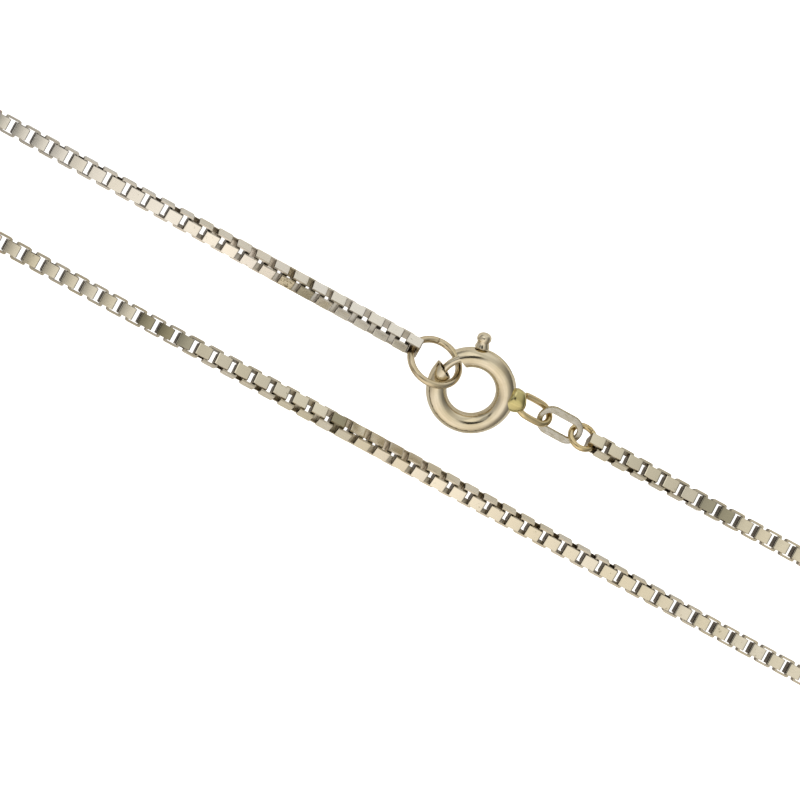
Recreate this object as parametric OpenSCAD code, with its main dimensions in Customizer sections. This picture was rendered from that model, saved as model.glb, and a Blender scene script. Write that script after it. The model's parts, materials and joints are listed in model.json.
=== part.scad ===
// Box chain necklace closed by a spring ring clasp, lying on a flat surface.
// +Z is up and the surface is z = 0. The two shown strands run along X, and the
// unseen rest of the chain goes round in a wide loop at each end.

/* [Box chain] */
// Height across the flat plates of a link
link_h = 1.22; // [1.1:0.01:1.3]
// Length of a link along the chain
link_len = 1.07; // [1.05:0.01:1.1]
// Width of the strip that a link is bent from
strip_w = 0.74; // [0.6:0.01:0.76]
// Thickness of the strip
strip_t = 0.11; // [0.08:0.005:0.12]
// Flat at each bend of the strip
bend_cut = 0.12; // [0.05:0.01:0.18]
// Distance from one link to the next
pitch = 0.72; // [0.7:0.005:0.73]
// Number of links in the whole chain
links_total = 619; // [583:2:655]

/* [Lay of the chain] */
// Distance between the two straight strands
strand_gap = 7; // [6:0.5:9]
// Half of the straight stretch
straight_half = 34; // [33:1:40]
// Radius of the bend that leads into an end loop
flare_r = 15; // [10:1:20]
// Angle at which the chain opens into an end loop
flare_angle = 40; // [30:5:50]
// Number of rings along the tube of one end loop
tube_rings = 41; // [31:2:41]

/* [Clasp] */
// Radius of the clasp ring's centre line
clasp_r = 2.31; // [2.2:0.01:2.4]
// Outer radius of the clasp's tube
tube_r = 0.69; // [0.66:0.01:0.7]
// Inner radius of the clasp's tube
bore_r = 0.5; // [0.45:0.01:0.52]
// Width of the mouth between the tube's two ends
mouth_w = 1.34; // [1.2:0.02:1.4]
// Tilt of the clasp ring, which leans on the jump ring
clasp_tilt = 16.2; // [16:0.1:16.5]
// Radius of the tongue's wire
tongue_r = 0.255; // [0.24:0.005:0.26]
// Travel of the knob from shut to open
trigger_travel = 50; // [40:1:50]

/* [Rings and tag] */
// Radius of the jump ring's centre line
jump_r = 1.745; // [1.735:0.005:1.755]
// Radius of the jump ring's wire
jump_wire_r = 0.24; // [0.2:0.01:0.24]
// Length of the oval tag
tag_len = 3.29; // [3.2:0.01:3.35]
// Width of the oval tag
tag_w = 2.05; // [2:0.01:2.1]
// Thickness of the oval tag
tag_t = 0.26; // [0.2:0.01:0.28]
// Width of the tag's rim at its two ends
tag_rim = 0.365; // [0.34:0.005:0.37]
// Width of the tag's oval hole
tag_hole_w = 1; // [0.99:0.01:1.04]
// Radius of the tag ring's centre line
tag_ring_r = 0.88; // [0.86:0.01:0.9]
// Radius of the tag ring's wire
tag_ring_wire_r = 0.2; // [0.18:0.01:0.2]
// Radius of the end loop's wire
end_loop_wire_r = 0.225; // [0.2:0.005:0.225]

/* [Hidden] */
$fn = 64;
// Overlap that joins two solids which would only touch
eps = 0.01;
strand_y = strand_gap / 2;

// Where the chain's two end links lie along the upper strand, at the tag ring and the jump ring
first_link_x = 12.95;
last_link_x = -1.137;

// The chain's path length, the share of one end loop, and the loop's round part
chain_path = pitch * (links_total - 1);
straight_path = (straight_half - first_link_x) + 2 * straight_half + (last_link_x + straight_half);
loop_path = (chain_path - straight_path) / 2;
flare_path = PI * flare_r * flare_angle / 180;
flare_rise = flare_r * (1 - cos(flare_angle));
loop_r = (loop_path - 2 * flare_path + 2 * (strand_y + flare_rise) / sin(flare_angle))
    / (2 / tan(flare_angle) + PI * (1 + flare_angle / 90));
slope_path = (loop_r * cos(flare_angle) - strand_y - flare_rise) / sin(flare_angle);
flare_end = [straight_half + flare_r * sin(flare_angle), strand_y + flare_rise];
slope_end = flare_end + slope_path * [cos(flare_angle), sin(flare_angle)];
loop_centre_x = slope_end[0] + loop_r * sin(flare_angle);

// Lean of the first link's plates towards +Y along each strand, columns: x, degrees
lean_first = [[12.9, 31], [16.5, 16], [21, 5], [26, 0], [34, 0]];
lean_lower = [[-34, -90], [-25, -93], [-16, -90], [-11, -76], [-5.6, -62], [-1, -45],
              [4, -32], [8, -24], [14.6, -15], [20.7, -8], [27, 0], [34, 0]];
lean_last = [[-34, 90], [-20.4, 78], [-17, 66], [-12, 48], [-5, 37], [-1.1, 37]];

// The last links rise to the jump ring and draw in towards the lower strand
rise_start_x = -8;
rise_z = 0.704;
rise_y = -0.022;

// Gap between the tube of an end loop and the links that it meets
join_gap = 0.12;
tube_sides = 8;

// The clasp ring's place and the angles round it, from +X
clasp_at = [3.755, 2.725, 1.343];
mouth_angle = 153.5;
knob_angle = 106.5;
tongue_from = knob_angle - 8.5;
tongue_to = 178;
slot_room = 7.5;
slot_from = knob_angle - trigger_travel - slot_room;
slot_to = knob_angle + slot_room;
slot_w = 0.5;
neck_r = 0.19;
// The knob's outline from the tube outwards, columns: radius, distance from the ring's centre
knob_outline = [[0, 3], [neck_r, 3], [neck_r, 3.06], [0.46, 3.06], [0.4, 3.15], [0.36, 3.3],
                [0.39, 3.42], [0.46, 3.52], [0.49, 3.64], [0.49, 3.78], [0.4, 3.97], [0.22, 4.08],
                [0, 4.1]];

// Outline of the drop of solder that joins the end loop to the ring, in the ring's plane
solder_outline = [[2.24, 0.55], [2.4, 1.05], [2.55, 1.5], [2.7, 1.62], [3.08, 1.58], [3.3, 1.42],
                  [3.64, 0.92], [3.62, 0.62], [3.36, 0.26], [2.9, 0.1], [2.5, 0.2]];
solder_low = -0.32;
solder_high = 0.75;

// The end loop's oval, its middle, and its turns about X and Y
end_loop_len = 2.62;
end_loop_w = 1.56;
end_loop_at = [8.087, 3.559, 1.21];
end_loop_lean = -36.2;
end_loop_dip = 14.2;

// The jump ring, the tag and the tag ring: middle and lean about X
jump_at = [0.704, 3.19, 1.431];
jump_lean = -37.9;
tag_at = [10.218, 3.512, 0.862];
tag_lean = 18.2;
tag_dip = 5.2;
tag_ring_at = [12.01, 3.524, 0.756];
tag_ring_lean = -36;

// Share of the rise at x, from 0 where it begins to 1 at the last link
function end_rise(x) = max(0, (x - rise_start_x) / (last_link_x - rise_start_x));

// Height of the chain's middle when it rests with its plates leaning by a
function rest_z(a) = let (c = abs(cos(a)), s = abs(sin(a)))
    max(link_h / 2 * c + strip_w / 2 * s, link_h / 2 * s + strip_w / 2 * c);

// Point and heading on the right end loop, at a distance s from where it begins
function loop_point(s) =
    s < flare_path ? let (a = s / flare_r * 180 / PI)
        [straight_half + flare_r * sin(a), strand_y + flare_r * (1 - cos(a)), a]
    : s < flare_path + slope_path ? let (d = s - flare_path)
        [flare_end[0] + d * cos(flare_angle), flare_end[1] + d * sin(flare_angle), flare_angle]
    : s <= loop_path / 2 ? let (a = flare_angle - (s - flare_path - slope_path) / loop_r * 180 / PI)
        [loop_centre_x - loop_r * sin(a), loop_r * cos(a), a]
    : let (p = loop_point(loop_path - s)) [p[0], -p[1], 180 - p[2]];

// Links whose whole length lies on a straight stretch, by their number along the path
upper_from = straight_half - first_link_x;
lower_from = upper_from + loop_path;
last_from = lower_from + 2 * straight_half + loop_path;
upper_ids = [for (i = [0:links_total - 1]) if (i * pitch + link_len / 2 <= upper_from) i];
lower_ids = [for (i = [0:links_total - 1]) let (s = i * pitch - lower_from)
    if (s >= link_len / 2 && s + link_len / 2 <= 2 * straight_half) i];
last_ids = [for (i = [0:links_total - 1]) if (i * pitch - last_from >= link_len / 2) i];

// Tube ends, as distances from where an end loop begins
right_from = upper_ids[len(upper_ids) - 1] * pitch + link_len / 2 - upper_from + join_gap;
right_to = lower_ids[0] * pitch - link_len / 2 - upper_from - join_gap;
left_from = lower_ids[len(lower_ids) - 1] * pitch + link_len / 2 - lower_from
    - 2 * straight_half + join_gap;
left_to = last_ids[0] * pitch - link_len / 2 - lower_from - 2 * straight_half - join_gap;

module link() {
    x = link_len / 2;
    z = link_h / 2;
    c = bend_cut;
    rotate([90, 0, 0])
        linear_extrude(strip_w, center = true)
            difference() {
                polygon([[x, c - z], [x, z - c], [x - c, z], [c - x, z],
                         [-x, z - c], [-x, c - z], [c - x, -z], [x - c, -z]]);
                square([link_len - 2 * strip_t, link_h - 2 * strip_t], center = true);
            }
}

// One link on a strand: every second link is a quarter turn round
module strand_link(i, x, y, lean, rise = 0) {
    slope = 2 * rise / (last_link_x - rise_start_x);
    translate([x, y + pow(rise, 2) * rise_y, rest_z(lean) + pow(rise, 2) * rise_z])
        rotate([0, -atan(slope * rise_z), atan(slope * rise_y)])
            rotate([-lean - 90 * (i % 2), 0, 0])
                link();
}

module box_links() {
    color("khaki") {
        for (i = upper_ids) {
            x = first_link_x + i * pitch;
            strand_link(i, x, strand_y, lookup(x, lean_first));
        }
        for (i = lower_ids) {
            x = straight_half - (i * pitch - lower_from);
            strand_link(i, x, -strand_y, lookup(x, lean_lower));
        }
        for (i = last_ids) {
            x = i * pitch - last_from - straight_half;
            strand_link(i, x, strand_y, lookup(x, lean_last), end_rise(x));
        }
    }
}

// The unseen chain of one end loop, as a plain eight-sided tube
module loop_tube(from, to) {
    corner_r = link_h / 2 / cos(180 / tube_sides);
    points = [for (k = [0:tube_rings - 1])
        let (p = loop_point(from + (to - from) * k / (tube_rings - 1)))
        for (j = [0:tube_sides - 1])
            let (a = (j + 0.5) * 360 / tube_sides, side = corner_r * cos(a))
            [p[0] - side * sin(p[2]), p[1] + side * cos(p[2]), link_h / 2 + corner_r * sin(a)]];
    walls = [for (k = [0:tube_rings - 2]) for (j = [0:tube_sides - 1])
        let (a = k * tube_sides + j, b = k * tube_sides + (j + 1) % tube_sides)
        each [[b + tube_sides, b, a], [a + tube_sides, b + tube_sides, a]]];
    last = (tube_rings - 1) * tube_sides;
    near_end = [for (j = [0:tube_sides - 1]) j];
    far_end = [for (j = [tube_sides - 1:-1:0]) last + j];
    polyhedron(points, [each walls, near_end, far_end]);
}

module chain_loops() {
    color("khaki") {
        loop_tube(right_from, right_to);
        rotate([0, 0, 180])
            loop_tube(left_from, left_to);
    }
}

module in_clasp() {
    translate(clasp_at)
        rotate([clasp_tilt, 0, 0])
            children();
}

module ring_of(radius, wire_r) {
    rotate_extrude()
        translate([radius, 0])
            circle(wire_r);
}

// A ring with two straight sides along X
module oval_ring(length, width, wire_r) {
    run = (length - width) / 2;
    for (side = [-1, 1]) {
        translate([0, side * width / 2, 0])
            rotate([0, 90, 0])
                cylinder(h = 2 * run, r = wire_r, center = true);
        translate([side * run, 0, 0])
            rotate([0, 0, -90 * side])
                rotate_extrude(angle = 180)
                    translate([width / 2, 0])
                        circle(wire_r);
    }
}

module solder_drop() {
    translate([0, 0, solder_low])
        linear_extrude(solder_high - solder_low)
            polygon(solder_outline);
}

module clasp_ring() {
    color("wheat")
        difference() {
            union() {
                in_clasp() {
                    ring_of(clasp_r, tube_r);
                    solder_drop();
                }
                translate(end_loop_at)
                    rotate([0, end_loop_dip, 0])
                        rotate([end_loop_lean, 0, 0])
                            oval_ring(end_loop_len, end_loop_w, end_loop_wire_r);
            }
            in_clasp() {
                ring_of(clasp_r, bore_r);
                rotate([0, 0, mouth_angle])
                    translate([clasp_r, 0, 0])
                        cube([clasp_r, mouth_w, 4 * tube_r], center = true);
                rotate([0, 0, slot_from])
                    rotate_extrude(angle = slot_to - slot_from)
                        translate([clasp_r + bore_r / 2, -slot_w / 2])
                            square([tube_r, slot_w]);
            }
        }
}

module clasp_trigger() {
    color("wheat")
        in_clasp() {
            rotate([0, 0, tongue_from])
                rotate_extrude(angle = tongue_to - tongue_from)
                    translate([clasp_r, 0])
                        circle(tongue_r);
            rotate([0, 0, knob_angle])
                rotate([0, 90, 0]) {
                    translate([0, 0, clasp_r])
                        cylinder(h = tube_r + eps, r = neck_r);
                    rotate_extrude()
                        polygon(knob_outline);
                }
        }
}

module jump_ring() {
    color("wheat")
        translate(jump_at)
            rotate([jump_lean, 0, 0])
                ring_of(jump_r, jump_wire_r);
}

module oval_plate(length, width) {
    run = (length - width) / 2;
    square([2 * run, width], center = true);
    for (side = [-1, 1])
        translate([side * run, 0])
            circle(width / 2);
}

module oval_tag() {
    color("lightyellow")
        translate(tag_at)
            rotate([0, tag_dip, 0])
                rotate([tag_lean, 0, 0])
                    linear_extrude(tag_t, center = true)
                        difference() {
                            oval_plate(tag_len, tag_w);
                            oval_plate(tag_len - 2 * tag_rim, tag_hole_w);
                        }
}

module tag_ring() {
    color("gold")
        translate(tag_ring_at)
            rotate([tag_ring_lean, 0, 0])
                ring_of(tag_ring_r, tag_ring_wire_r);
}

clasp_ring();
clasp_trigger();
jump_ring();
oval_tag();
tag_ring();
box_links();
chain_loops();
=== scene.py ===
import json
import math
import random

import bmesh
import bpy
from mathutils import Matrix, Vector

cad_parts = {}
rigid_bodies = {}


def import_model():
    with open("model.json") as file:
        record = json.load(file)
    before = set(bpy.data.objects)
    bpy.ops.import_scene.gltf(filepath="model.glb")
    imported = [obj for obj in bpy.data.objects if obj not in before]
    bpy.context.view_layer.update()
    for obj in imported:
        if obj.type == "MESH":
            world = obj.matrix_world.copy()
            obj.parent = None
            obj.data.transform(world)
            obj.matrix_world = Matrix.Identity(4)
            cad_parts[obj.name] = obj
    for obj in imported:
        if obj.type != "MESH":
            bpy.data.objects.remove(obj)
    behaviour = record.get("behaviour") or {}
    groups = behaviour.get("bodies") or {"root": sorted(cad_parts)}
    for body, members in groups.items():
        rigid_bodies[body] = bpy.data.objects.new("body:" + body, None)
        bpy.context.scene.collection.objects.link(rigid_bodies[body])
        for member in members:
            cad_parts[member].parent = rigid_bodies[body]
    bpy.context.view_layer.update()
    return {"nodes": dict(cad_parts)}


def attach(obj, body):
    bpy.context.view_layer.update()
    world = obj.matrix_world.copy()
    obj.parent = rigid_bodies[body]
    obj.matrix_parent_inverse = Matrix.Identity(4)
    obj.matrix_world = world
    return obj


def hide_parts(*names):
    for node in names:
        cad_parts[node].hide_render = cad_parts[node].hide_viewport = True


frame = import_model()
fromMm = 0.001  # pieces are modelled in millimetres and made metres when they are placed
weldDistance = 0.0005  # mm
wireSides = 24  # points round a wire's section
print("frame loaded:", len(frame["nodes"]), "nodes")


# small helpers

def nothingSelected():
    for obj in bpy.context.view_layer.objects:
        obj.select_set(False)


def selectOnly(obj):
    nothingSelected()
    obj.select_set(True)
    bpy.context.view_layer.objects.active = obj


def begin(name, addPrimitive):
    nothingSelected()
    addPrimitive()
    obj = bpy.context.active_object
    obj.name = name
    obj.data.name = name
    bpy.ops.object.transform_apply(location=True, rotation=True, scale=True)
    return obj


def edit():
    bpy.ops.object.mode_set(mode="EDIT")


def done():
    bpy.ops.object.mode_set(mode="OBJECT")


# kind is VERT, EDGE or FACE; test takes one of them and says if it is picked
def pick(kind, test):
    bpy.ops.mesh.select_mode(type=kind)
    bpy.ops.mesh.select_all(action="DESELECT")
    bm = bmesh.from_edit_mesh(bpy.context.object.data)
    for item in {"VERT": bm.verts, "EDGE": bm.edges, "FACE": bm.faces}[kind]:
        if test(item):
            item.select_set(True)
    bm.select_flush_mode()
    bmesh.update_edit_mesh(bpy.context.object.data)


def selectAll():
    bpy.ops.mesh.select_all(action="SELECT")


def faceOutwards():
    selectAll()
    bpy.ops.mesh.normals_make_consistent(inside=False)


# joins the doubled points of a turned or drawn shape
def weld():
    selectAll()
    bpy.ops.mesh.remove_doubles(threshold=weldDistance)
    faceOutwards()


def drawOut(x, y, z):
    bpy.ops.mesh.extrude_region_move(TRANSFORM_OT_translate={"value": (x, y, z)})


# turns the selected points round the Z axis through x, 0, in radians
def turnRound(x, angle, steps):
    bpy.ops.mesh.spin(steps=steps, angle=angle, center=(x, 0, 0), axis=(0, 0, 1))


def applyModifier(obj, kind, **settings):
    modifier = obj.modifiers.new(kind.lower(), kind)
    for key, value in settings.items():
        setattr(modifier, key, value)
    bpy.context.view_layer.objects.active = obj
    bpy.ops.object.modifier_apply(modifier=modifier.name)


# rounds the edges that turn by more than this many degrees
def roundEdges(obj, width, segments, angle):
    applyModifier(obj, "BEVEL", width=width, segments=segments, limit_method="ANGLE",
                  angle_limit=math.radians(angle))


# puts a piece that was modelled in millimetres where it belongs, with its place in its mesh
def place(obj, matrix):
    obj.matrix_world = Matrix.Scale(fromMm, 4) @ matrix
    selectOnly(obj)
    bpy.ops.object.transform_apply(location=True, rotation=True, scale=True)


def smooth(obj, angle):
    selectOnly(obj)
    bpy.ops.object.shade_smooth_by_angle(angle=math.radians(angle))


def joinAll(parts, name):
    nothingSelected()
    for part in parts:
        part.select_set(True)
    bpy.context.view_layer.objects.active = parts[0]
    bpy.ops.object.join()
    parts[0].name = name
    parts[0].data.name = name
    return parts[0]


def turnX(degrees):
    return Matrix.Rotation(math.radians(degrees), 4, "X")


def turnY(degrees):
    return Matrix.Rotation(math.radians(degrees), 4, "Y")


def turnZ(degrees):
    return Matrix.Rotation(math.radians(degrees), 4, "Z")


def at(x, y, z):
    return Matrix.Translation((x, y, z))


# camera: it looks down at the shown part of the necklace, leaning a little towards -X

camera = {
    "target": (0, -0.1, 0.6),  # mm
    "distance": 420,  # mm
    "lean": 9.5,  # degrees
    "roll": 28.5,  # degrees
    "pxPerMm": 15.1,
    "pictureWidth": 800,  # pixels
    "sensorWidth": 36,
    "clip": (0.01, 20),  # metres
}


def makeCamera():
    lean, roll = math.radians(camera["lean"]), math.radians(camera["roll"])
    along = Vector((math.cos(lean), 0, math.sin(lean)))
    across = Vector((0, 1, 0))
    back = Vector((-math.sin(lean), 0, math.cos(lean)))
    right = along * math.cos(roll) + across * math.sin(roll)
    up = across * math.cos(roll) - along * math.sin(roll)
    data = bpy.data.cameras.new("shotCamera")
    shot = bpy.data.objects.new("shotCamera", data)
    bpy.context.scene.collection.objects.link(shot)
    axes = Matrix((right, up, back)).transposed().to_4x4()
    spot = (Vector(camera["target"]) + back * camera["distance"]) * fromMm
    shot.matrix_world = Matrix.Translation(spot) @ axes
    data.sensor_width = camera["sensorWidth"]
    data.lens = camera["sensorWidth"] * camera["distance"] * camera["pxPerMm"] / camera["pictureWidth"]
    data.clip_start, data.clip_end = camera["clip"]
    bpy.context.scene.camera = shot


makeCamera()
print("camera made")


# materials

# an sRGB hex code as the linear colour that Blender works in
def colour(code):
    parts = [int(code[k:k + 2], 16) / 255 for k in (1, 3, 5)]
    return tuple(p / 12.92 if p <= 0.04045 else ((p + 0.055) / 1.055) ** 2.4 for p in parts) + (1,)


def put(tree, kind, values=None, wires=None):
    node = tree.nodes.new(kind)
    for key, value in (values or {}).items():
        if isinstance(key, str) and hasattr(node, key):
            setattr(node, key, value)
        else:
            node.inputs[key].default_value = value
    for key, source in (wires or {}).items():
        tree.links.new(source, node.inputs[key])
    return node


# a value turned into a colour by stops of position and hex code
def shades(tree, value, stops):
    node = put(tree, "ShaderNodeValToRGB", {}, {"Fac": value})
    elements = node.color_ramp.elements
    while len(elements) < len(stops):
        elements.new(0.5)
    for element, (spot, code) in zip(elements, stops):
        element.position = spot
        element.color = colour(code)
    return node.outputs[0]


def attribute(tree, name):
    return put(tree, "ShaderNodeAttribute", {"attribute_name": name}).outputs["Fac"]


# objects are in metres, so a scale of 1000 makes a pattern of about a millimetre
def noise(tree, vector, scale, detail=2.0, roughness=0.5):
    return put(tree, "ShaderNodeTexNoise", {"Scale": scale, "Detail": detail, "Roughness": roughness},
               {"Vector": vector}).outputs["Fac"]


# scratches: a noise drawn out along one direction
def scratches(tree, vector, turned, drawn, scale, detail, roughness=0.5):
    stretch = put(tree, "ShaderNodeMapping", {"Rotation": turned, "Scale": drawn}, {"Vector": vector})
    return noise(tree, stretch.outputs[0], scale, detail, roughness)


def remap(tree, value, before, after, how="LINEAR"):
    return put(tree, "ShaderNodeMapRange",
               {"interpolation_type": how, "From Min": before[0], "From Max": before[1],
                "To Min": after[0], "To Max": after[1]}, {"Value": value}).outputs[0]


# a colour laid over a base as far as factor says
def layOver(tree, factor, base, code):
    return put(tree, "ShaderNodeMix", {"data_type": "RGBA", 7: colour(code)}, {0: factor, 6: base}).outputs[2]


def newMaterial(name):
    material = bpy.data.materials.new(name)
    material.use_nodes = True
    tree = material.node_tree
    tree.nodes.clear()
    return material, tree


def finishMaterial(tree, values, wires):
    shader = put(tree, "ShaderNodeBsdfPrincipled", values, wires)
    put(tree, "ShaderNodeOutputMaterial", {}, {"Surface": shader.outputs[0]})


noiseSpan = (0.3, 0.7)  # most of a noise's values lie between these


# the shader that all the metals share: roughness goes from low to high with the scratches
def finishMetal(tree, base, hair, low, high, strength, depth):
    rough = remap(tree, hair, noiseSpan, (low, high))
    bump = put(tree, "ShaderNodeBump", {"Strength": strength, "Distance": depth}, {"Height": hair})
    finishMaterial(tree, {"Metallic": 1.0},
                   {"Base Color": base, "Roughness": rough, "Normal": bump.outputs[0]})


# rolled and polished low carat gold: pale, with faint clouding and hair scratches
def polishedGold(name, body, thin, roughness, grain):
    material, tree = newMaterial(name)
    where = put(tree, "ShaderNodeTexCoord").outputs["Object"]
    tint = shades(tree, noise(tree, where, 700.0, 3.0), [(0.35, body), (0.7, thin)])
    # scratches about 0.03 mm wide, as coarse as the picture can show
    hair = scratches(tree, where, (0, 0, 0.5), (1, 9, 3), 3200.0, 4.0)
    finishMetal(tree, tint, hair, roughness - grain, roughness + grain, 0.12, 0.00002)
    return material


claspGold = polishedGold("polishedNineCaratGold", "#e2d8c0", "#d6c9ab", 0.11, 0.03)
ringGold = polishedGold("yellowGoldWire", "#e0cda2", "#d0bb8a", 0.14, 0.04)
jumpGold = polishedGold("drawnGoldWire", "#dccdb0", "#cbbb97", 0.14, 0.04)
solderGold = polishedGold("goldSolder", "#d2c890", "#bfb277", 0.1, 0.03)

# the tag's flats are pale, and it goes yellower and darker towards its edges
tagLook = {
    "ramp": [(0.2, "#cecbc1"), (0.33, "#bfbaaa"), (0.6, "#c6b78c"), (1.0, "#9a8450")],
    "scratch": [(0.32, "#a79f8c"), (0.46, "#ffffff")],
    "clouding": 0.5,  # how much a cloud shifts the colour along the ramp
}


def scratchedSilverGold():
    material, tree = newMaterial("paleFlatYellowEdgeGold")
    where = put(tree, "ShaderNodeTexCoord").outputs["Object"]
    cloud = noise(tree, where, 1800.0, 5.0, 0.7)
    worn = put(tree, "ShaderNodeMath", {"operation": "MULTIPLY_ADD", 1: tagLook["clouding"]},
               {0: cloud, 2: attribute(tree, "edge")})
    tint = shades(tree, worn.outputs[0], tagLook["ramp"])
    hair = scratches(tree, where, (0, 0, 0.9), (1, 7, 2), 3000.0, 5.0, 0.75)
    scored = put(tree, "ShaderNodeMix", {"data_type": "RGBA", "blend_type": "MULTIPLY", 0: 1.0},
                 {6: tint, 7: shades(tree, hair, tagLook["scratch"])})
    finishMetal(tree, scored.outputs[2], hair, 0.12, 0.36, 0.35, 0.00003)
    return material


tagMetal = scratchedSilverGold()

# flat rolled strip: satin flats, blots of brown tarnish, and a painted brown shade on the end walls, rims and
# inner faces where the links shade each other
stripLook = {
    "ramp": [(0.0, "#8b8364"), (0.2, "#d3cebb"), (0.6, "#e3dac2"), (1.0, "#f0ece4")],
    "stain": "#74683f",
    "stainSpan": (0.3, 0.12),  # a blot's noise, less its plate's stain, from clean to covered
    "shade": "#6b573c",
    "paintedShadeAmount": 0.85,
}


def rolledStripGold():
    material, tree = newMaterial("rolledStripGold")
    where = put(tree, "ShaderNodeTexCoord").outputs["Object"]
    tint = shades(tree, attribute(tree, "tone"), stripLook["ramp"])
    # blotches of tarnish, some 0.2 mm across
    blot = noise(tree, where, 3600.0, 5.0, 0.65)
    spread = put(tree, "ShaderNodeMath", {"operation": "SUBTRACT"}, {0: blot, 1: attribute(tree, "stain")})
    cover = remap(tree, spread.outputs[0], stripLook["stainSpan"], (0.0, 1.0))
    stained = layOver(tree, cover, tint, stripLook["stain"])
    # the side attribute lays a painted brown shade on the faces that the links shade from the light
    paintedShadeCover = put(tree, "ShaderNodeMath", {"operation": "MULTIPLY", 1: stripLook["paintedShadeAmount"]},
                {0: attribute(tree, "side")})
    shaded = layOver(tree, paintedShadeCover.outputs[0], stained, stripLook["shade"])
    hair = scratches(tree, where, (0.3, 0.2, 0.4), (1, 6, 4), 2600.0, 4.0, 0.7)
    finishMetal(tree, shaded, hair, 0.16, 0.25, 0.03, 0.00001)
    return material


stripGold = rolledStripGold()
print("materials made")


# the chain's route, in millimetres and degrees

route = {
    "pitch": 0.72,
    "links": 619,
    "firstX": 12.95,  # the link in the tag ring
    "lastX": -1.137,  # the link in the jump ring
    "strandY": 3.5,
    "straightHalf": 34,
    "flareRadius": 15,
    "flareAngle": 40,
    # the last links rise to the jump ring: where that begins, how far up and to the side
    "riseStart": -8,
    "riseUp": 0.704,
    "riseSide": -0.022,
    # lean of the links about each straight run: x, degrees
    "leanFirst": [(12.9, 31), (16.5, 16), (21, 5), (26, 0), (34, 0)],
    "leanLower": [(-34, -90), (-25, -93), (-16, -90), (-11, -76), (-5.6, -62), (-1, -45), (4, -32), (8, -24),
                  (14.6, -15), (20.7, -8), (27, 0), (34, 0)],
    "leanLast": [(-34, 90), (-20.4, 78), (-17, 66), (-12, 48), (-5, 37), (-1.1, 37)],
}

link = {
    "height": 1.22,
    "length": 1.07,
    "width": 0.8,  # of the strip
    "thickness": 0.15,
    "bend": 0.12,  # rounding of the four bends
    "rim": 0.02,  # rounding of the strip's outer rims
    "wallPaintedShade": 1.0,  # painted shade on the end walls
    "rimPaintedShade": 0.4,  # painted shade on the rims and on the plates' inner faces
}
alongAxis, squareToAxis = 0.9, 0.1  # how much of a direction lies on an axis that it follows, or is square to


def readTable(table, x):
    if x <= table[0][0]:
        return table[0][1]
    for (x0, a0), (x1, a1) in zip(table, table[1:]):
        if x <= x1:
            return a0 + (a1 - a0) * (x - x0) / (x1 - x0)
    return table[-1][1]


def routeSizes():
    r, flare = route, math.radians(route["flareAngle"])
    path = r["pitch"] * (r["links"] - 1)
    half = r["straightHalf"]
    upper = half - r["firstX"]
    straight = upper + 2 * half + (r["lastX"] + half)
    loop = (path - straight) / 2
    flarePath = r["flareRadius"] * flare
    out = r["flareRadius"] * (1 - math.cos(flare))
    radius = (loop - 2 * flarePath + 2 * (r["strandY"] + out) / math.sin(flare)) / (
        2 / math.tan(flare) + math.pi + 2 * flare)
    slope = (radius * math.cos(flare) - r["strandY"] - out) / math.sin(flare)
    flareEnd = Vector((half + r["flareRadius"] * math.sin(flare), r["strandY"] + out))
    slopeEnd = flareEnd + Vector((math.cos(flare), math.sin(flare))) * slope
    return {"loop": loop, "flarePath": flarePath, "radius": radius, "slope": slope, "flareEnd": flareEnd,
            "centreX": slopeEnd.x + radius * math.sin(flare), "upper": upper,
            "lower": upper + loop, "last": upper + 2 * loop + 2 * half}


sizes = routeSizes()


# x, y and heading on the right end loop, at a distance s from where it begins
def loopPoint(s):
    flare = math.radians(route["flareAngle"])
    if s > sizes["loop"] / 2:
        x, y, heading = loopPoint(sizes["loop"] - s)
        return x, -y, math.pi - heading
    if s < sizes["flarePath"]:
        a = s / route["flareRadius"]
        return (route["straightHalf"] + route["flareRadius"] * math.sin(a),
                route["strandY"] + route["flareRadius"] * (1 - math.cos(a)), a)
    d = s - sizes["flarePath"]
    if d < sizes["slope"]:
        return sizes["flareEnd"].x + d * math.cos(flare), sizes["flareEnd"].y + d * math.sin(flare), flare
    a = flare - (d - sizes["slope"]) / sizes["radius"]
    return sizes["centreX"] - sizes["radius"] * math.sin(a), sizes["radius"] * math.cos(a), a


def restHeight(lean):
    c, s = abs(math.cos(math.radians(lean))), abs(math.sin(math.radians(lean)))
    return max(link["height"] / 2 * c + link["width"] / 2 * s, link["height"] / 2 * s + link["width"] / 2 * c)


# where the link with number i lies, as a matrix in millimetres
def linkPlace(i):
    s = i * route["pitch"]
    turn = -90 * (i % 2)
    half = route["straightHalf"]
    if s <= sizes["upper"]:
        x = route["firstX"] + s
        lean = readTable(route["leanFirst"], x)
        return at(x, route["strandY"], restHeight(lean)) @ turnX(turn - lean)
    if s < sizes["lower"]:
        x, y, heading = loopPoint(s - sizes["upper"])
        return at(x, y, link["height"] / 2) @ turnZ(math.degrees(heading)) @ turnX(turn)
    if s <= sizes["lower"] + 2 * half:
        x = half - (s - sizes["lower"])
        lean = readTable(route["leanLower"], x)
        return at(x, -route["strandY"], restHeight(lean)) @ turnX(turn - lean)
    if s < sizes["last"]:
        x, y, heading = loopPoint(s - sizes["lower"] - 2 * half)
        return at(-x, -y, link["height"] / 2) @ turnZ(180 + math.degrees(heading)) @ turnX(turn - 90)
    x = s - sizes["last"] - half
    lean = readTable(route["leanLast"], x)
    span = route["lastX"] - route["riseStart"]
    rise = max(0, (x - route["riseStart"]) / span)
    z = restHeight(lean) + rise ** 2 * route["riseUp"]
    pitchUp = math.degrees(math.atan(2 * rise * route["riseUp"] / span))
    side = math.degrees(math.atan(2 * rise * route["riseSide"] / span))
    spot = at(x, route["strandY"] + rise ** 2 * route["riseSide"], z)
    return spot @ turnZ(side) @ turnY(-pitchUp) @ turnX(turn - lean)


# one link: a square tube bent from flat strip

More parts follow.
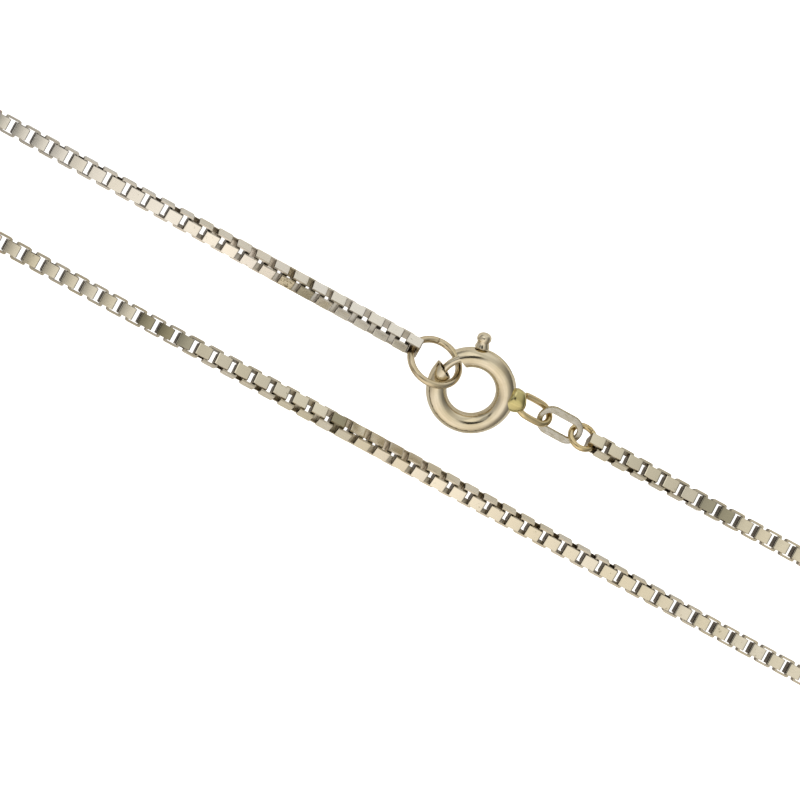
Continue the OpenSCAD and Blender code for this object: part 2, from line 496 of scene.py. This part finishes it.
def modelLink():
    obj = begin("link", lambda: bpy.ops.mesh.primitive_cube_add(
        size=1, scale=(link["length"], link["width"], link["height"])))
    edit()
    pick("EDGE", lambda e: abs((e.verts[0].co - e.verts[1].co).normalized().y) > alongAxis)
    bpy.ops.mesh.bevel(offset=link["bend"], segments=2, affect="EDGES")
    pick("FACE", lambda f: abs(f.normal.y) > alongAxis)
    bpy.ops.mesh.inset(thickness=link["thickness"], use_even_offset=True)
    bpy.ops.mesh.bridge_edge_loops()

    def onOuterRim(e):
        plates = [f for f in e.link_faces if abs(f.normal.y) < squareToAxis]
        rims = [f for f in e.link_faces if abs(f.normal.y) > alongAxis]
        if len(plates) != 1 or len(rims) != 1:
            return False
        return plates[0].normal.dot(plates[0].calc_center_median()) > 0

    pick("EDGE", onOuterRim)
    bpy.ops.mesh.bevel(offset=link["rim"], segments=1, affect="EDGES")
    faceOutwards()
    done()
    # the side attribute says how much painted shade each face gets: none on the outer plates
    mesh = obj.data
    side = mesh.attributes.new("side", "FLOAT", "FACE")
    for face in mesh.polygons:
        outward = face.normal.dot(Vector((face.center.x, 0, face.center.z)))
        innerFace = outward < 0 and abs(face.normal.y) < squareToAxis
        if abs(face.normal.x) > alongAxis:
            side.data[face.index].value = link["wallPaintedShade"]
        elif innerFace or abs(face.normal.y) > 0.3:  # the rims and their rounding
            side.data[face.index].value = link["rimPaintedShade"]
    smooth(obj, 35)
    applyModifier(obj, "WEIGHTED_NORMAL", keep_sharp=True)
    return obj


# tones are places on the strip's ramp; each link's is drawn between two values
plates = {
    # the clasp strand's paler range and the other strands' darker ranges are painted reflection of the
    # studio; within a range a link's tone is random
    "claspStrand": (0.86, 1.0),
    "tagStrand": (0.5, 0.7),
    "tagStrandFrom": 12,  # x
    "elsewhere": (0.58, 0.76),
    "stain": (0, 0.1),
    # plates unlike their neighbours: x and y of their link, tone, stain
    "odd": [(-17.43, -3.5, 0.06, 0), (-15.99, -3.5, 0.04, 0), (-14.55, -3.5, 0.13, 0), (-3.03, -3.5, 0.05, 0),
            (21.59, 3.5, 0.1, 0), (23.03, 3.5, 0.08, 0), (-10.5, 3.5, 0.6, 0.22), (-9.06, 3.5, 0.16, 0)],
    "oddReach": (0.3, 1),  # how near to such a spot a link is the one that is meant
}


# tone and stain of the link at x, y
def linkLook(x, y, rng):
    reachX, reachY = plates["oddReach"]
    for oddX, oddY, tone, stain in plates["odd"]:
        if abs(x - oddX) < reachX and abs(y - oddY) < reachY:
            return tone, stain
    tones = plates["elsewhere"]
    # the paler clasp strand and the darker tag strand are painted reflection
    if y > 0 and x < 0:
        tones = plates["claspStrand"]
    elif y > 0 and x > plates["tagStrandFrom"]:
        tones = plates["tagStrand"]
    return rng.uniform(*tones), rng.uniform(*plates["stain"])


def makeChain():
    rng = random.Random(7)
    model = modelLink()
    copies = []
    for i in range(route["links"]):
        copy = model.copy()
        copy.data = model.data.copy()
        bpy.context.scene.collection.objects.link(copy)
        copy.matrix_world = linkPlace(i)
        spot = copy.matrix_world.translation
        for name, value in zip(("tone", "stain"), linkLook(spot.x, spot.y, rng)):
            layer = copy.data.attributes.new(name, "FLOAT", "FACE")
            layer.data.foreach_set("value", [value] * len(copy.data.polygons))
        copies.append(copy)
    bpy.data.objects.remove(model)
    chain = joinAll(copies, "boxChain")
    place(chain, chain.matrix_world.copy())
    chain.data.materials.append(stripGold)
    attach(chain, "necklace")
    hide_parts("box_links", "chain_loops")
    print("chain made:", len(chain.data.polygons), "faces")


makeChain()


# the clasp's hollow ring, with its mouth and the knob's slot

clasp = {
    "at": (3.755, 2.725, 1.343),
    "tilt": 16.2,
    "radius": 2.31,  # to the middle of the tube
    "tube": 0.69,  # the tube's own radius
    "wall": 0.13,
    "edge": 0.03,  # rounding of the tube's cut edges
    "mouthWidth": 1.34,
    "mouthAngle": 153.5,
    "slotWidth": 0.5,
    "slotFrom": 49,
    "slotTo": 114,
    "slotMargin": 12,  # how far past the slot the cuts that outline it may run
    "sides": 40,
    "steps": 128,
}
inClasp = at(*clasp["at"]) @ turnX(clasp["tilt"])


def unit(degrees):
    return Vector((math.cos(math.radians(degrees)), math.sin(math.radians(degrees)), 0))


def angleOf(p):
    return math.degrees(math.atan2(p.y, p.x)) % 360


def modelTube():
    obj = begin("tube", lambda: bpy.ops.mesh.primitive_circle_add(
        vertices=clasp["sides"], radius=clasp["tube"], location=(clasp["radius"], 0, 0),
        rotation=(math.pi / 2, 0, 0)))
    edit()
    selectAll()
    turnRound(0, 2 * math.pi, clasp["steps"])
    weld()
    ahead = unit(clasp["mouthAngle"])
    across = unit(clasp["mouthAngle"] + 90)
    half = clasp["mouthWidth"] / 2

    def onMouthSide(f):
        return f.calc_center_median().dot(ahead) > 0

    for side in (-1, 1):
        pick("FACE", onMouthSide)
        bpy.ops.mesh.bisect(plane_co=across * half * side, plane_no=across)
    pick("FACE", lambda f: onMouthSide(f) and abs(f.calc_center_median().dot(across)) < half)
    bpy.ops.mesh.delete(type="FACE")

    slotFrom, slotTo, margin = clasp["slotFrom"], clasp["slotTo"], clasp["slotMargin"]

    def nearSlot(f):
        c = f.calc_center_median()
        return slotFrom - margin < angleOf(c) < slotTo + margin and c.xy.length > clasp["radius"]

    for point, normal in ((Vector((0, 0, clasp["slotWidth"] / 2)), Vector((0, 0, 1))),
                          (Vector((0, 0, -clasp["slotWidth"] / 2)), Vector((0, 0, 1))),
                          (Vector((0, 0, 0)), unit(slotFrom + 90)),
                          (Vector((0, 0, 0)), unit(slotTo + 90))):
        pick("FACE", nearSlot)
        bpy.ops.mesh.bisect(plane_co=point, plane_no=normal)

    def inSlot(f):
        c = f.calc_center_median()
        return (slotFrom < angleOf(c) < slotTo and c.xy.length > clasp["radius"]
                and abs(c.z) < clasp["slotWidth"] / 2)

    pick("FACE", inSlot)
    bpy.ops.mesh.delete(type="FACE")
    done()
    applyModifier(obj, "SOLIDIFY", thickness=clasp["wall"], offset=-1)
    roundEdges(obj, clasp["edge"], 2, 50)
    smooth(obj, 40)
    return obj


solder = {
    # corners seen along the ring's axis, and the height that it is built up from
    "outline": [(2.2, 0.5), (2.34, 1.05), (2.46, 1.62), (2.62, 1.76), (3.1, 1.72), (3.34, 1.56),
                (3.7, 0.95), (3.66, 0.56), (3.38, 0.2), (2.9, 0.04), (2.44, 0.12)],
    "low": -0.3,
    "middle": (2.95, 0.92),
    # rise and size along and across of each step up from the base
    "steps": [(0.66, 1.0, 1.0), (0.16, 0.97, 0.9), (0.22, 0.8, 0.42), (0.06, 0.5, 0.3)],
}


def modelSolder():
    obj = begin("solder", lambda: bpy.ops.mesh.primitive_circle_add(
        vertices=len(solder["outline"]), radius=1, fill_type="NGON"))
    edit()
    bm = bmesh.from_edit_mesh(obj.data)
    bm.verts.ensure_lookup_table()
    for vert, (x, y) in zip(sorted(bm.verts, key=lambda v: -angleOf(v.co)), solder["outline"]):
        vert.co = Vector((x, y, solder["low"]))
    bmesh.update_edit_mesh(obj.data)
    selectAll()
    middle = Vector(solder["middle"]).to_3d()
    for up, long, wide in solder["steps"]:
        drawOut(0, 0, up)
        bpy.ops.transform.resize(value=(long, wide, 1), center_override=middle)
    faceOutwards()
    done()
    applyModifier(obj, "SUBSURF", levels=2, render_levels=2)
    smooth(obj, 60)
    return obj


endLoop = {
    "length": 2.62,
    "width": 1.46,
    "bulge": 0.06,  # how far each side bows outwards
    "wire": 0.225,
    "at": (8.087, 3.559, 1.21),
    "lean": -36.2,
    "dip": 14.2,
    # the joint beside the solder, in degrees round the end nearest to the clasp
    "joint": 15,
    "gap": 8,
    "edge": 0.03,  # rounding of the wire's cut ends
    "strides": 6,  # steps along each straight side
}


# an oval of wire with an open joint
def modelEndLoop():
    run = (endLoop["length"] - endLoop["width"]) / 2
    half = endLoop["width"] / 2
    stride = 2 * run / endLoop["strides"]
    joint, gap = math.radians(endLoop["joint"]), math.radians(endLoop["gap"])
    start = unit(90 + endLoop["joint"]) * half + Vector((-run, 0, 0))
    obj = begin("endLoop", lambda: bpy.ops.mesh.primitive_circle_add(
        vertices=wireSides, radius=endLoop["wire"], fill_type="NGON", location=start,
        rotation=(0, math.pi / 2, joint)))
    edit()
    selectAll()
    turnRound(-run, joint, 3)
    for k in range(endLoop["strides"]):
        drawOut(stride, 0, 0)
    turnRound(run, math.pi, 28)
    for k in range(endLoop["strides"]):
        drawOut(-stride, 0, 0)
    turnRound(-run, math.pi - joint - gap, 24)
    weld()
    bm = bmesh.from_edit_mesh(obj.data)
    for vert in bm.verts:
        out = max(0, 1 - (vert.co.x / (run + half / 2)) ** 2)
        vert.co.y += math.copysign(endLoop["bulge"] * out, vert.co.y)
    bmesh.update_edit_mesh(obj.data)
    done()
    roundEdges(obj, endLoop["edge"], 2, 60)
    smooth(obj, 50)
    return obj


def makeClasp():
    tube = modelTube()
    place(tube, inClasp)
    tube.name = tube.data.name = "claspTube"
    tube.data.materials.append(claspGold)
    drop = modelSolder()
    place(drop, inClasp)
    drop.name = drop.data.name = "solderDrop"
    drop.data.materials.append(solderGold)
    loop = modelEndLoop()
    place(loop, at(*endLoop["at"]) @ turnY(endLoop["dip"]) @ turnX(endLoop["lean"]))
    loop.name = loop.data.name = "endLoopWire"
    loop.data.materials.append(ringGold)
    for piece in (tube, drop, loop):
        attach(piece, "necklace")
        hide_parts("clasp_ring")
    print("clasp ring made:", len(tube.data.polygons), "faces in its tube")


makeClasp()


# the tongue that shuts the mouth, with its knob

trigger = {
    "tongue": 0.255,  # its wire's radius
    "tip": 0.08,  # rounding of its ends
    "tongueFrom": 98,
    "tongueTo": 178,
    "tongueSteps": 36,
    "knobSides": 32,
    "knobAngle": 106.5,
    "neck": 0.19,
    # radius and distance from the ring's centre, from the foot outwards
    "knob": [(0.3, 3.06), (0.48, 3.06), (0.5, 3.1), (0.47, 3.18), (0.43, 3.3), (0.405, 3.42), (0.41, 3.49),
             (0.455, 3.55), (0.485, 3.63), (0.49, 3.71), (0.475, 3.81), (0.43, 3.91), (0.36, 3.99),
             (0.27, 4.045), (0.16, 4.08), (0.05, 4.095)],
}


def makeTrigger():
    start = unit(trigger["tongueFrom"]) * clasp["radius"]
    tongue = begin("tongue", lambda: bpy.ops.mesh.primitive_circle_add(
        vertices=wireSides, radius=trigger["tongue"], fill_type="NGON", location=start,
        rotation=(math.pi / 2, 0, math.radians(trigger["tongueFrom"]))))
    edit()
    selectAll()
    turnRound(0, math.radians(trigger["tongueFrom"] - trigger["tongueTo"]), trigger["tongueSteps"])
    weld()
    done()
    roundEdges(tongue, trigger["tip"], 3, 60)
    smooth(tongue, 50)

    neckTop = trigger["knob"][0][1]
    knob = begin("knob", lambda: bpy.ops.mesh.primitive_circle_add(
        vertices=trigger["knobSides"], radius=trigger["neck"], fill_type="NGON",
        location=(0, 0, clasp["radius"])))
    edit()
    selectAll()
    radius, height = trigger["neck"], clasp["radius"]
    for r, z in [(trigger["neck"], neckTop)] + trigger["knob"]:
        drawOut(0, 0, z - height)
        bpy.ops.transform.resize(value=(r / radius, r / radius, 1), center_override=(0, 0, z))
        radius, height = r, z
    weld()
    done()
    smooth(knob, 40)
    place(tongue, inClasp)
    place(knob, inClasp @ turnZ(trigger["knobAngle"]) @ turnY(90))
    piece = joinAll([tongue, knob], "claspTrigger")
    piece.data.materials.append(claspGold)
    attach(piece, "trigger")
    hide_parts("clasp_trigger")
    print("trigger made")


makeTrigger()


# round wire rings, each with a fine joint

ringSteps = 88
ringEdge = 0.02  # rounding at the joint

jumpRing = {
    "radius": 1.745,
    "wire": 0.24,
    "at": (0.704, 3.19, 1.431),
    "lean": -37.9,
    "jointAngle": 100,
    "gap": 0.02,
}
tagRing = {
    "radius": 0.88,
    "wire": 0.2,
    "at": (12.01, 3.524, 0.756),
    "lean": -36,
    "jointAngle": 60,
    "gap": 0.02,
}


def wireRing(name, ring, material, node):
    angle = ring["jointAngle"]
    obj = begin(name, lambda: bpy.ops.mesh.primitive_circle_add(
        vertices=wireSides, radius=ring["wire"], fill_type="NGON", location=unit(angle) * ring["radius"],
        rotation=(math.pi / 2, 0, math.radians(angle))))
    edit()
    selectAll()
    turnRound(0, 2 * math.pi - ring["gap"] / ring["radius"], ringSteps)
    weld()
    done()
    roundEdges(obj, ringEdge, 2, 60)
    smooth(obj, 50)
    place(obj, at(*ring["at"]) @ turnX(ring["lean"]))
    obj.data.materials.append(material)
    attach(obj, "necklace")
    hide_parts(node)


wireRing("jumpRing", jumpRing, jumpGold, "jump_ring")
wireRing("tagRing", tagRing, ringGold, "tag_ring")
print("rings made")


# the oval tag

tag = {
    "length": 3.29,
    "width": 2.05,
    "thickness": 0.26,
    "rim": 0.365,
    "holeWidth": 1.0,
    "edge": 0.06,  # rounding of its edges
    "band": 0.02,  # how far from the middle of its thickness it is all edge colour
    "points": 56,
    "at": (10.218, 3.512, 0.862),
    "lean": 18.2,
    "dip": 5.2,
}


# the point of a straight-sided oval that stands at this angle of its round ends
def ovalPoint(length, width, angle):
    run = (length - width) / 2
    p = unit(angle) * width / 2
    return Vector((p.x + math.copysign(run, p.x), p.y, 0))


def makeTag():
    # a disc with a hole first, whose inner and outer points are then moved to the two ovals
    inset = 0.3
    obj = begin("ovalTag", lambda: bpy.ops.mesh.primitive_circle_add(
        vertices=tag["points"], radius=1, fill_type="NGON"))
    edit()
    pick("FACE", lambda f: True)
    bpy.ops.mesh.inset(thickness=inset)
    bpy.ops.mesh.delete(type="FACE")
    bm = bmesh.from_edit_mesh(obj.data)
    turn = 180 / tag["points"]
    for vert in bm.verts:
        angle = angleOf(vert.co) + turn
        if vert.co.length > 1 - inset / 2:
            vert.co = ovalPoint(tag["length"], tag["width"], angle)
        else:
            vert.co = ovalPoint(tag["length"] - 2 * tag["rim"], tag["holeWidth"], angle)
        vert.co.z = -tag["thickness"] / 2
    bmesh.update_edit_mesh(obj.data)
    selectAll()
    drawOut(0, 0, tag["thickness"])
    faceOutwards()
    done()
    roundEdges(obj, tag["edge"], 3, 60)
    mesh = obj.data
    edge = mesh.attributes.new("edge", "FLOAT", "POINT")
    reach = tag["thickness"] / 2 - tag["band"]
    for vert in mesh.vertices:
        outwards = (abs(vert.co.z) - tag["band"]) / reach
        edge.data[vert.index].value = 1 - max(0, min(1, outwards))
    smooth(obj, 50)
    place(obj, at(*tag["at"]) @ turnY(tag["dip"]) @ turnX(tag["lean"]))
    obj.data.materials.append(tagMetal)
    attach(obj, "necklace")
    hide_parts("oval_tag")
    print("tag made:", len(mesh.polygons), "faces")


makeTag()


# floor and light

studio = {
    "floor": "#f1eee6",
    "fibre": "#fbfaf8",
    "backdrop": "#eeeeec",
    "floorGlow": 1.0,  # lifts the board to white for the camera
    "floorShine": 0.1,  # the board's glow as the metal sees it
    "strength": 1.0,
    "horizon": 0.72,  # brightness of the tent at the horizon, as a part of its top's
    # other parts of the tent: the axis of their direction, where they begin and are full, brightness there
    "tent": [
        ("x", 0.15, 1, 0.3),  # far end
        ("x", -0.35, -0.9, 0.6),  # near end
        ("y", 0, 0.15, 0.76),  # upper side
        ("y", 0.3, 0.9, 1.1),  # low on the upper side
        ("y", -0.2, -0.6, 0.9),  # lower side
        ("aside", 0.6, 1, 1.5),  # low on both sides
    ],
    "cloth": [(0.0, "#fff7ee"), (0.5, "#fffcf4"), (1.0, "#f1f0ec")],  # from -Y to +Y
    # the dark slit in the tent's top, along X
    "slit": 0.02,  # its brightness
    "slitCore": 0.14,  # half width at its core
    "slitEdge": 0.26,  # half width at its soft edge
    "slitEnd": (-0.05, 0.2),  # where it fades out along X
    "slitFoot": (0.7, 0.5),  # and towards the horizon
    # azimuth and height in degrees, distance and size in metres, watts
    "lights": [
        ("keySoftbox", 150, 50, 0.7, 0.6, 0.5),
        ("fillSoftbox", -75, 45, 0.8, 0.6, 0.2),
    ],
}


# a value that goes from one level to another as its source goes from a to b
def level(tree, source, a, b, low, high):
    return remap(tree, source, (a, b), (low, high), "SMOOTHSTEP")


def combine(tree, operation, first, second):
    return put(tree, "ShaderNodeMath", {"operation": operation}, {0: first, 1: second}).outputs[0]


def makeFloor():
    floor = begin("floor", lambda: bpy.ops.mesh.primitive_plane_add(size=4, location=(0, 0, -0.00002)))
    material, tree = newMaterial("matteWhiteBoard")
    where = put(tree, "ShaderNodeTexCoord").outputs["Object"]
    tint = shades(tree, noise(tree, where, 400.0), [(0.4, studio["floor"]), (0.6, studio["fibre"])])
    # the board is lit up to white behind the necklace, and stays duller in the metal's reflections
    ray = put(tree, "ShaderNodeLightPath")
    lift = put(tree, "ShaderNodeMath",
               {"operation": "MULTIPLY_ADD", 1: studio["floorGlow"], 2: studio["floorShine"]},
               {0: ray.outputs["Is Camera Ray"]})
    finishMaterial(tree, {"Roughness": 0.9, "Emission Color": (1, 1, 1, 1)},
                   {"Base Color": tint, "Emission Strength": lift.outputs[0]})
    floor.data.materials.append(material)


def makeTent():
    world = bpy.data.worlds.new("tent")
    bpy.context.scene.world = world
    world.use_nodes = True
    tree = world.node_tree
    tree.nodes.clear()
    where = put(tree, "ShaderNodeTexCoord").outputs["Generated"]
    x, y, z = put(tree, "ShaderNodeSeparateXYZ", {}, {0: where}).outputs
    aside = put(tree, "ShaderNodeMath", {"operation": "ABSOLUTE"}, {0: y}).outputs[0]
    direction = {"x": x, "y": y, "aside": aside}
    brightness = level(tree, z, 0, 1, studio["horizon"] * studio["strength"], studio["strength"])
    for axis, begins, full, there in studio["tent"]:
        part = level(tree, direction[axis], begins, full, 1, there)
        brightness = combine(tree, "MULTIPLY", brightness, part)
    besideSlit = level(tree, aside, studio["slitCore"], studio["slitEdge"], studio["slit"], 1)
    pastEnd = level(tree, x, *studio["slitEnd"], studio["slit"], 1)
    below = level(tree, z, *studio["slitFoot"], studio["slit"], 1)
    slit = combine(tree, "MAXIMUM", combine(tree, "MAXIMUM", besideSlit, pastEnd), below)
    brightness = combine(tree, "MULTIPLY", brightness, slit)
    cloth = shades(tree, level(tree, y, -1, 1, 0, 1), studio["cloth"])
    glow = put(tree, "ShaderNodeBackground", {}, {"Color": cloth, "Strength": brightness})
    backdrop = put(tree, "ShaderNodeBackground", {"Color": colour(studio["backdrop"])})
    ray = put(tree, "ShaderNodeLightPath")
    either = put(tree, "ShaderNodeMixShader", {},
                 {0: ray.outputs["Is Camera Ray"], 1: glow.outputs[0], 2: backdrop.outputs[0]})
    put(tree, "ShaderNodeOutputWorld", {}, {"Surface": either.outputs[0]})


def makeLights():
    for name, azimuth, height, distance, size, watts in studio["lights"]:
        data = bpy.data.lights.new(name, "AREA")
        data.shape = "SQUARE"
        data.size = size
        data.energy = watts
        lamp = bpy.data.objects.new(name, data)
        bpy.context.scene.collection.objects.link(lamp)
        a, e = math.radians(azimuth), math.radians(height)
        toward = Vector((math.cos(a) * math.cos(e), math.sin(a) * math.cos(e), math.sin(e)))
        lamp.location = toward * distance
        lamp.rotation_mode = "QUATERNION"
        lamp.rotation_quaternion = toward.to_track_quat("Z", "Y")


def makeStudio():
    makeFloor()
    makeTent()
    makeLights()
    bpy.context.scene.view_settings.view_transform = "Standard"
    print("studio made")


makeStudio()
